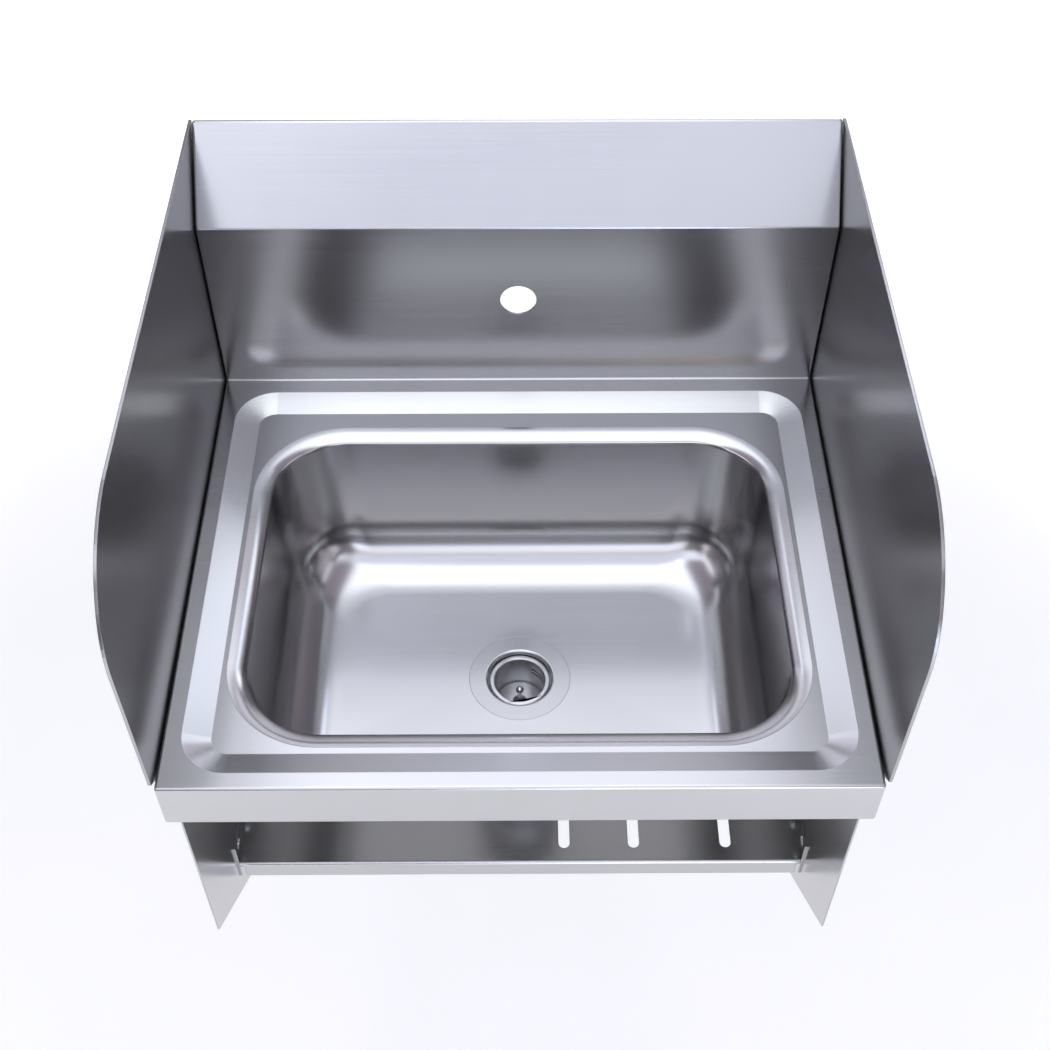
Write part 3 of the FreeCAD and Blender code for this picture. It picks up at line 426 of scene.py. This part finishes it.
def nutModel(look):  # stands on Z = 0
    reach = look["across"] / math.sqrt(3)
    nut = cylinder(reach, 0.0, look["nutHeight"], 6, math.pi / 6)
    corners = cylinder(reach + nutShape["outside"], 0.0, look["nutHeight"])
    for level in (0.0, look["nutHeight"]):
        rimBevelled(corners, level, look["across"] * nutShape["corner"], nutShape["cornerSteps"])
    cutBy(nut, corners, "INTERSECT")
    cutBy(nut, cylinder(look["shank"] + nutShape["bore"], -nutShape["boreEnds"],
                        look["nutHeight"] + nutShape["boreEnds"], nutShape["sides"]))
    return nut


for title, look in (("splash", splashFastener), ("support", supportFastener),
                    ("shelf", shelfFastener)):
    screwPlaces, nutPlaces = [], []
    for hand in (-1, 1):
        for screwAt, nutAt in look["sites"]:
            toX, toY, toZ = look["headTo"]
            screwPlaces.append(((hand * screwAt[0], *screwAt[1:]), (hand * toX, toY, toZ)))
            nutPlaces.append(((hand * nutAt[0], *nutAt[1:]), (-hand * toX, -toY, -toZ)))
    screws = copiesAt(title + "ScrewSet", screwModel(look), screwPlaces)
    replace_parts(finished(screws, "sink", brightSteel), title + "_screws")
    nuts = copiesAt(title + "NutSet", nutModel(look), nutPlaces)
    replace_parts(finished(nuts, "sink", brightSteel), title + "_nuts")
print("screws and nuts made")

# the cut thread on the drain's shank, between the locknut and the slip nut
shankThread = {"radius": 0.0254, "low": -0.3329, "pitch": 0.0018, "turns": 23, "rise": 0.0007,
               "steps": 72}
thread = coil(**shankThread)
thread.location = (*drainCentre, 0)
selectOnly(thread)
settled()
finished(thread, "sink", drainSteel)
thread.name = "drainShankThread"
print("drain thread made")

# the splashes: the lower front corner is cut off, so that it ends at the deck, and the inner face
# moves nearer to the deck, so that the groove shows as a thin line
splashCut = {"front": -0.3935, "level": -0.1445, "slope": 42, "inner": 0.2178, "nearer": 0.0007,
             "smooth": 20}
slope = math.radians(splashCut["slope"])
for hand, title in ((-1, "left"), (1, "right")):
    sheet = mergedCopy(title + "_side_splash", title + "SplashSheet")
    editAll(sheet)
    bpy.ops.mesh.bisect(plane_co=(0, splashCut["front"], splashCut["level"]),
                        plane_no=(0, -math.sin(slope), -math.cos(slope)),
                        use_fill=True, clear_outer=True)
    bpy.ops.mesh.select_all(action="DESELECT")
    bpy.ops.object.mode_set(mode="OBJECT")
    for vertex in sheet.data.vertices:
        vertex.select = abs(vertex.co.x) < splashCut["inner"]
    bpy.ops.object.mode_set(mode="EDIT")
    bpy.ops.transform.translate(value=(-hand * splashCut["nearer"], 0, 0))
    bpy.ops.object.mode_set(mode="OBJECT")
    finished(sheet, "sink", splashSteelPaintedDark, splashCut["smooth"])
    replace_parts(sheet, title + "_side_splash")
print("splashes cut")

# the drawn bowl: a rolled rim, drafted walls and a cove whose corners stay wide down to the floor.
# rolls: the rim's slopes at the two ends of each roll, in degrees, and the radius between them
bowlForm = {"centre": (0.0, -0.2286), "half": (0.1728, 0.1230), "corner": 0.050,
            "recess": -0.1523, "depth": 0.1210, "rolls": ((4, 32, 0.0235), (32, 87, 0.0030)),
            "draft": 3.0, "cove": 0.042, "gauge": 0.0012, "lift": 0.0003, "cornerSteps": 24,
            "rollSteps": 7, "wallSteps": 4, "coveSteps": 14, "seat": 0.0366, "seatDrop": 0.0015,
            "hole": 0.0260, "smooth": 40}


def rimSteps(form):  # how far in and how far down each step across the rolled rim goes
    steps = []
    for low, high, radius in form["rolls"]:
        for step in range(form["rollSteps"]):
            here, there = (math.radians(low + (high - low) * (step + end) / form["rollSteps"])
                           for end in (0, 1))
            steps.append((radius * (math.sin(there) - math.sin(here)),
                          radius * (math.cos(here) - math.cos(there))))
    return steps


def wallRings(form, level):  # the level of each ring below the rim, and how far in it lies
    slope = math.radians(90 - form["draft"])
    cove = form["cove"]
    coveTop = -(form["depth"] - cove * (1 - math.cos(slope)))
    rings = []
    for step in range(1, form["wallSteps"] + 1):
        ring = level + (coveTop - level) * step / form["wallSteps"]
        rings.append((ring, (level - ring) * math.tan(math.radians(form["draft"]))))
    wallIn = rings[-1][1]
    for step in range(1, form["coveSteps"] + 1):  # the cove, from the wall's slope to flat
        angle = slope * (1 - step / form["coveSteps"])
        rings.append((-form["depth"] + cove * (1 - math.cos(angle)),
                      wallIn + cove * (math.sin(slope) - math.sin(angle))))
    return rings


def makeBowl(form):
    steps = rimSteps(form)
    rimIn, rimDrop = (sum(step[i] for step in steps) for i in (0, 1))
    reach = rimIn - rimDrop * math.tan(math.radians(form["draft"]))
    outer = [half + reach for half in form["half"]]
    middle = (*form["centre"], form["recess"])
    nothingSelected()
    bpy.ops.mesh.primitive_plane_add(size=2, location=middle)
    bpy.context.object.scale = (*outer, 1)
    bowl = settled()
    editAll(bowl)
    bpy.ops.mesh.bevel(offset=form["corner"] + reach, segments=form["cornerSteps"],
                       affect="VERTICES")
    bpy.ops.mesh.select_mode(type="FACE")
    bpy.ops.mesh.select_all(action="SELECT")
    bpy.ops.transform.translate(value=(0, 0, form["lift"]))
    for inwards, down in steps:
        bpy.ops.mesh.inset(thickness=inwards, depth=-down, use_even_offset=True)
    bpy.ops.transform.translate(value=(0, 0, -form["lift"]))
    # each ring of the wall and the cove is a smaller copy of the last, so its corners stay wide
    mouth = [side - rimIn for side in outer]
    now, place = mouth, -rimDrop
    for ring, inwards in wallRings(form, -rimDrop):
        target = [side - inwards for side in mouth]
        bpy.ops.mesh.extrude_region()
        bpy.ops.transform.translate(value=(0, 0, ring - place))
        bpy.ops.transform.resize(value=(target[0] / now[0], target[1] / now[1], 1),
                                 center_override=middle)
        now, place = target, ring
    bpy.ops.mesh.delete(type="ONLY_FACE")
    # the floor, bridged in to the round seat of the drain
    floorLevel = form["recess"] - form["depth"]
    seatCentre = (*form["centre"], floorLevel)
    bpy.ops.mesh.primitive_circle_add(vertices=4 * (form["cornerSteps"] + 1), radius=form["seat"],
                                      location=seatCentre)
    pickEdges(bowl, lambda point: abs(point.z - floorLevel) < sameLevel)
    bpy.ops.mesh.bridge_edge_loops()
    onSeat = form["seat"] + 10 * sameLevel
    pickEdges(bowl, lambda point: math.dist(point, seatCentre) < onSeat)
    bpy.ops.mesh.extrude_region()
    bpy.ops.transform.translate(value=(0, 0, -form["seatDrop"]))
    bpy.ops.mesh.extrude_region()
    share = form["hole"] / form["seat"]
    bpy.ops.transform.resize(value=(share, share, 1), center_override=seatCentre)
    bpy.ops.mesh.select_all(action="SELECT")
    bpy.ops.mesh.remove_doubles(threshold=merging)
    bpy.ops.mesh.normals_make_consistent(inside=False)
    bpy.ops.object.mode_set(mode="OBJECT")
    if min(bowl.data.polygons, key=lambda face: face.center.z).normal.z < 0:
        editAll(bowl)
        bpy.ops.mesh.flip_normals()
        bpy.ops.object.mode_set(mode="OBJECT")
    applied(bowl, "SOLIDIFY", thickness=form["gauge"], offset=-1.0, use_even_offset=True)
    bowl.name = "drawnBowl"
    return bowl


bowlPiece = finished(makeBowl(bowlForm), "sink", bowlSteel, bowlForm["smooth"])
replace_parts(bowlPiece, "bowl")
print("bowl made,", len(bowlPiece.data.polygons), "faces")

# the strainer basket, with the two edges of its rim rolled over
basketRim = {"level": -0.2763, "roll": 0.0012, "steps": 4, "flat": 1}
basketPiece = mergedCopy("strainer_basket", "slitBasket")
editAll(basketPiece)
bpy.ops.mesh.dissolve_limited(angle_limit=math.radians(basketRim["flat"]))
pickEdges(basketPiece, lambda point: abs(point.z - basketRim["level"]) < sameLevel)
bpy.ops.mesh.bevel(offset=basketRim["roll"], segments=basketRim["steps"], affect="EDGES")
bpy.ops.object.mode_set(mode="OBJECT")
finished(basketPiece, "basket", basketSteel)
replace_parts(basketPiece, "strainer_basket")
print("basket made,", len(basketPiece.data.polygons), "faces")

# the studio: six soft cards round the sink, of which the camera sees only the floor
room = {"side": 1.7, "front": -2.4, "back": 1.5, "top": 1.75, "floor": -1.0}
side, front, back, top, floor = (room[k] for k in ("side", "front", "back", "top", "floor"))
middle, level = (front + back) / 2, (top + floor) / 2
wide, deep, high, quarter = 2 * side, back - front, top - floor, math.pi / 2
# the floor's lift is its own glow, which grows with the distance from the sink
paleFloor = {"size": (14.0, 14.0), "dark": (0.78, 0.78, 0.78), "light": (0.82, 0.82, 0.82),
             "mottle": 9.0, "roughness": 0.9, "nearLift": (0.40, 0.40, 0.40),
             "farLift": (0.80, 0.80, 0.80), "fade": (1.20, 1.75)}
cards = {  # centre, size, turn, and the axes that a soft box's two places are on
    "topCard": ((0, middle, top), (wide, deep), (math.pi, 0, 0), (0, 1)),
    "backCard": ((0, back, level), (wide, high), (quarter, 0, 0), (0, 2)),
    "frontCard": ((0, front, level), (wide, high), (quarter, 0, 0), (0, 2)),
    "leftCard": ((-side, middle, level), (high, deep), (0, quarter, 0), (1, 2)),
    "rightCard": ((side, middle, level), (high, deep), (0, quarter, 0), (1, 2)),
    "floorCard": ((0, middle, floor), paleFloor["size"], (0, 0, 0), (0, 1)),
}
baseGlow = {
    "topCard": (0.420, 0.368, 0.440), "floorCard": (0.15, 0.145, 0.15),
    "frontCard": (0.26, 0.25, 0.27), "backCard": (0.05, 0.05, 0.055),
    "leftCard": (0.02, 0.02, 0.022), "rightCard": (0.02, 0.02, 0.022),
}
softBoxes = [  # card, two places, two half sizes, width of the soft edge, colour
    ("topCard", 0.11, 0.07, 0.42, 1.11, 0.20, (1.420, 1.530, 1.650)),
    ("topCard", -0.44, -0.10, 0.14, 1.21, 0.11, (1.650, 1.780, 1.960)),
    ("topCard", 0.76, 1.31, 0.17, 0.42, 0.15, (1.750, 2.000, 2.280)),
    ("topCard", 0.00, -1.98, 0.74, 1.01, 0.27, (0.819, 0.910, 1.061)),
    ("topCard", -1.36, -1.74, 0.65, 0.55, 0.23, (1.281, 1.406, 1.533)),
    ("topCard", -0.79, 1.30, 0.13, 0.34, 0.21, (2.000, 2.250, 2.450)),
    ("topCard", 0.02, -0.35, 0.45, 0.68, 0.10, (0.352, 0.385, 0.341)),
    ("topCard", 1.86, -1.59, 0.90, 0.00, 1.53, (3.198, 3.629, 3.882)),
    ("backCard", 0.38, 0.44, 0.57, 0.51, 0.10, (1.950, 1.990, 2.300)),
    ("backCard", 0.91, 1.75, 0.19, 0.53, 0.18, (3.207, 3.294, 3.493)),
    ("backCard", -0.95, 1.93, 1.45, 0.71, 0.34, (1.281, 1.247, 1.438)),
    ("frontCard", -0.06, 0.96, 0.64, 0.68, 0.35, (1.480, 1.440, 1.530)),
    ("frontCard", 0.40, -0.70, 0.42, 0.44, 0.20, (3.334, 3.923, 5.395)),
    ("frontCard", 0.42, -0.09, 0.01, 1.15, 1.11, (1.548, 1.239, 0.875)),
    ("frontCard", 0.18, 0.79, 0.45, 0.37, 0.25, (0.056, 0.231, 0.543)),
    ("floorCard", -0.04, -1.18, 0.46, 0.58, 0.42, (1.200, 1.110, 0.985)),
    ("floorCard", 0.00, -0.18, 0.50, 0.20, 0.12, (0.420, 0.390, 0.375)),
    ("floorCard", 0.00, 0.32, 0.12, 0.15, 0.25, (3.300, 3.150, 3.000)),
    ("floorCard", -1.37, -0.99, 0.63, 0.54, 0.14, (3.200, 3.070, 3.000)),
    ("floorCard", 1.26, 0.50, 0.45, 0.54, 0.22, (1.400, 1.350, 1.250)),
    ("backCard", 0.00, -0.58, 0.90, 0.32, 0.30, (0.500, 0.500, 0.520)),
    ("leftCard", -0.20, -0.35, 0.80, 0.50, 0.50, (0.420, 0.420, 0.440)),
    ("rightCard", -0.20, -0.35, 0.80, 0.50, 0.50, (0.420, 0.420, 0.440)),
    ("leftCard", -0.88, 1.62, 0.81, 0.89, 0.93, (1.856, 1.817, 2.006)),
    ("leftCard", -1.54, 0.43, 0.60, 0.49, 0.17, (1.118, 0.966, 1.060)),
    ("rightCard", -1.77, 0.64, 0.58, 0.71, 0.22, (0.986, 0.910, 0.998)),
    ("rightCard", -0.42, 1.68, 0.63, 0.93, 0.29, (1.133, 1.118, 1.253)),
]


def cardPlane(name, centre, size, turn):
    nothingSelected()
    bpy.ops.mesh.primitive_plane_add(size=1, location=centre, rotation=turn)
    bpy.context.object.scale = (*size, 1)
    plane = settled()
    plane.name = name
    return plane


def glowOf(start, place, card, axes):
    places = [start.node("SeparateXYZ", {}, {"Vector": place}).output(axis) for axis in axes]
    glow = start.node("CombineXYZ", {}, dict(enumerate(baseGlow[card])))
    for boxCard, u, v, halfU, halfV, edge, colour in softBoxes:
        if boxCard == card:
            across = (halfU + edge / 2 - abs(places[0] - u)).eased(0, edge)
            along = (halfV + edge / 2 - abs(places[1] - v)).eased(0, edge)
            glow = start.node("VectorMath", {"operation": "MULTIPLY_ADD"},
                              {0: colour, 1: across * along, 2: glow})
    return glow


def raysSeen(start):  # 1 for the camera, and for what metal and glass show
    rays = start.node("LightPath")
    seen = [rays.output(kind) for kind in ("Is Camera Ray", "Is Glossy Ray", "Is Transmission Ray")]
    return seen[0] + seen[1] + seen[2]


for card, (centre, size, turn, axes) in cards.items():
    onFloor = card == "floorCard"
    plane = cardPlane(card, centre, size, turn)
    plane.visible_camera = onFloor
    material, start, place = newMaterial(card + "Light")
    light = start.node("BsdfPrincipled", {}, {"Base Color": (0, 0, 0, 1), "Roughness": 1.0,
                                              "Specular IOR Level": 0.0,
                                              "Emission Color": glowOf(start, place, card, axes),
                                              "Emission Strength": 1.0})
    if onFloor:  # seen as a plain pale floor with the shadow on it, whose glow lights the rest
        mottle = place.noise(paleFloor["mottle"], 5.0)
        away = start.node("VectorMath", {"operation": "LENGTH"}, {0: place}, "Value")
        lift = away.eased(*paleFloor["fade"]).between(paleFloor["nearLift"], paleFloor["farLift"])
        pale = start.node("BsdfPrincipled", {},
                          {"Base Color": mottle.between(paleFloor["dark"], paleFloor["light"]),
                           "Roughness": paleFloor["roughness"], "Emission Color": lift,
                           "Emission Strength": 1.0})
        light = start.node("MixShader", {}, {0: raysSeen(start).clamped(), 1: light, 2: pale})
    surface(start, light)
    plane.data.materials.append(material)
print("studio made,", len(cards), "cards")

# camera: solved from the photograph's corners
view = {"place": (-0.0009, -0.8483, 0.6176), "down": 49.33, "turn": 0.42, "roll": 0.09,
        "lens": 50.996, "sensor": 36}
cameraData = bpy.data.cameras.new("camera")
cameraData.lens = view["lens"]
cameraData.sensor_width = view["sensor"]
camera = bpy.data.objects.new("camera", cameraData)
bpy.context.scene.collection.objects.link(camera)
camera.matrix_world = (Matrix.Translation(view["place"])
                       @ Matrix.Rotation(math.radians(-view["turn"]), 4, "Z")
                       @ Matrix.Rotation(math.radians(90 - view["down"]), 4, "X")
                       @ Matrix.Rotation(math.radians(view["roll"]), 4, "Z"))
bpy.context.scene.camera = camera
bpy.context.scene.view_settings.view_transform = "Standard"

# the world is white to the camera, to metal and to glass, and a little dimmer to the rest
worldLight = {"others": 0.9, "seen": 1.0}
world = bpy.data.worlds.new("world")
bpy.context.scene.world = world
world.use_nodes = True
world.node_tree.nodes.clear()
sky = Wire(world.node_tree, None)
shine = raysSeen(sky).clamped(worldLight["others"], worldLight["seen"])
background = sky.node("Background", {}, {"Color": (1, 1, 1, 1), "Strength": shine})
skyOut = sky.tree.nodes.new("ShaderNodeOutputWorld")
sky.tree.links.new(background.socket, skyOut.inputs["Surface"])
print("camera and world made")
